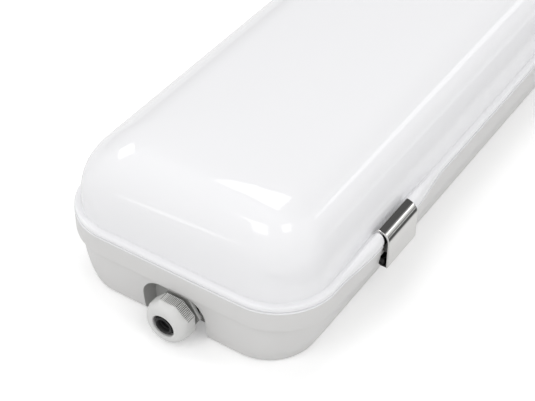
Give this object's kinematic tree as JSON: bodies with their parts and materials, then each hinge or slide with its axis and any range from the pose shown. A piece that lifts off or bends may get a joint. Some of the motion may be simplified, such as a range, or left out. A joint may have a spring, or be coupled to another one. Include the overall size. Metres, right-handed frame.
{
  "type": "vapor tight light fixture",
  "caption": "Sealed linear light fixture: grey moulded housing, glossy opal domed diffuser, stainless latches along both sides and a cable gland in a recess of its end wall.",
  "frame": {"origin": "centre of the housing's flat back", "axes": "+X along the fixture, away from the cable gland; +Z from the back towards the diffuser; +Y across"},
  "size_m": [1.2412, 0.157, 0.0818],
  "materials": {
    "housing_grey": "moulded light grey plastic, satin",
    "opal_diffuser": "glossy opal plastic",
    "gasket_foam": "soft foam",
    "stainless": "bright rolled stainless strip",
    "pin_steel": "plain steel pin",
    "gland_grey": "moulded light grey plastic, satin",
    "black_rubber": "matte black rubber",
    "tray_white": "white painted sheet steel",
    "board_white": "white coated circuit board",
    "driver_white": "white moulded case",
    "zinc_screw": "zinc plated steel",
    "earth_brass": "plain brass",
    "lead_red": "red insulation",
    "lead_black": "black insulation",
    "lead_white": "white insulation",
    "lead_green": "green insulation"
  },
  "bodies": {
    "case": {"housing": "housing_grey", "gasket": "gasket_foam", "diffuser": "opal_diffuser", "latch_pin_1": "pin_steel", "latch_pin_2": "pin_steel", "latch_pin_3": "pin_steel", "latch_pin_4": "pin_steel", "latch_pin_5": "pin_steel", "latch_pin_6": "pin_steel", "latch_pin_7": "pin_steel", "latch_pin_8": "pin_steel", "gland_body": "gland_grey", "gland_washer": "black_rubber", "gland_locknut": "gland_grey", "blanking_plug": "gland_grey", "plug_washer": "black_rubber", "plug_locknut": "gland_grey", "gear_tray": "tray_white", "tray_screw_1": "zinc_screw", "tray_screw_2": "zinc_screw", "tray_screw_3": "zinc_screw", "tray_screw_4": "zinc_screw", "led_board_1": "board_white", "led_board_2": "board_white", "led_board_3": "board_white", "board_screw_1": "zinc_screw", "board_screw_2": "zinc_screw", "board_screw_3": "zinc_screw", "board_screw_4": "zinc_screw", "board_screw_5": "zinc_screw", "board_screw_6": "zinc_screw", "led_driver": "driver_white", "driver_screw_1": "zinc_screw", "driver_screw_2": "zinc_screw", "terminal_block": "driver_white", "terminal_screw": "zinc_screw", "earth_screw": "zinc_screw", "earth_nut": "earth_brass", "line_lead": "lead_black", "neutral_lead": "lead_white", "earth_lead": "lead_green", "driver_lead_plus": "lead_red", "driver_lead_minus": "lead_black"},
    "gland_insert": {"gland_cage": "gland_grey", "gland_seal": "black_rubber"},
    "gland_nut": {"gland_nut": "gland_grey"},
    "latch_1": {"latch_1": "stainless"},
    "latch_2": {"latch_2": "stainless"},
    "latch_3": {"latch_3": "stainless"},
    "latch_4": {"latch_4": "stainless"},
    "latch_5": {"latch_5": "stainless"},
    "latch_6": {"latch_6": "stainless"},
    "latch_7": {"latch_7": "stainless"},
    "latch_8": {"latch_8": "stainless"}
  },
  "joints": [
    {"name": "gland_travel", "type": "slide", "parent": "case", "child": "gland_insert", "axis": [-1, 0, 0], "range_m": [-0.0015, 0.0045]},
    {"name": "gland_nut_turn", "type": "hinge", "parent": "gland_insert", "child": "gland_nut", "pos_m": [-0.615, -0.0042, 0.0128], "axis": [-1, 0, 0], "range_deg": [-360, 1080]},
    {"name": "latch_1_pivot", "type": "hinge", "parent": "case", "child": "latch_1", "pos_m": [-0.53, -0.0746, 0.026], "axis": [1, 0, 0], "range_deg": [0, 110]},
    {"name": "latch_2_pivot", "type": "hinge", "parent": "case", "child": "latch_2", "pos_m": [-0.17667, -0.0746, 0.026], "axis": [1, 0, 0], "range_deg": [0, 110]},
    {"name": "latch_3_pivot", "type": "hinge", "parent": "case", "child": "latch_3", "pos_m": [0.17667, -0.0746, 0.026], "axis": [1, 0, 0], "range_deg": [0, 110]},
    {"name": "latch_4_pivot", "type": "hinge", "parent": "case", "child": "latch_4", "pos_m": [0.53, -0.0746, 0.026], "axis": [1, 0, 0], "range_deg": [0, 110]},
    {"name": "latch_5_pivot", "type": "hinge", "parent": "case", "child": "latch_5", "pos_m": [-0.53, 0.0746, 0.026], "axis": [-1, 0, 0], "range_deg": [0, 110]},
    {"name": "latch_6_pivot", "type": "hinge", "parent": "case", "child": "latch_6", "pos_m": [-0.17667, 0.0746, 0.026], "axis": [-1, 0, 0], "range_deg": [0, 110]},
    {"name": "latch_7_pivot", "type": "hinge", "parent": "case", "child": "latch_7", "pos_m": [0.17667, 0.0746, 0.026], "axis": [-1, 0, 0], "range_deg": [0, 110]},
    {"name": "latch_8_pivot", "type": "hinge", "parent": "case", "child": "latch_8", "pos_m": [0.53, 0.0746, 0.026], "axis": [-1, 0, 0], "range_deg": [0, 110]}
  ],
  "couplings": [
    {"joint": "gland_travel", "follows": "gland_nut_turn", "m_per_rad": 0.00023873}
  ]
}
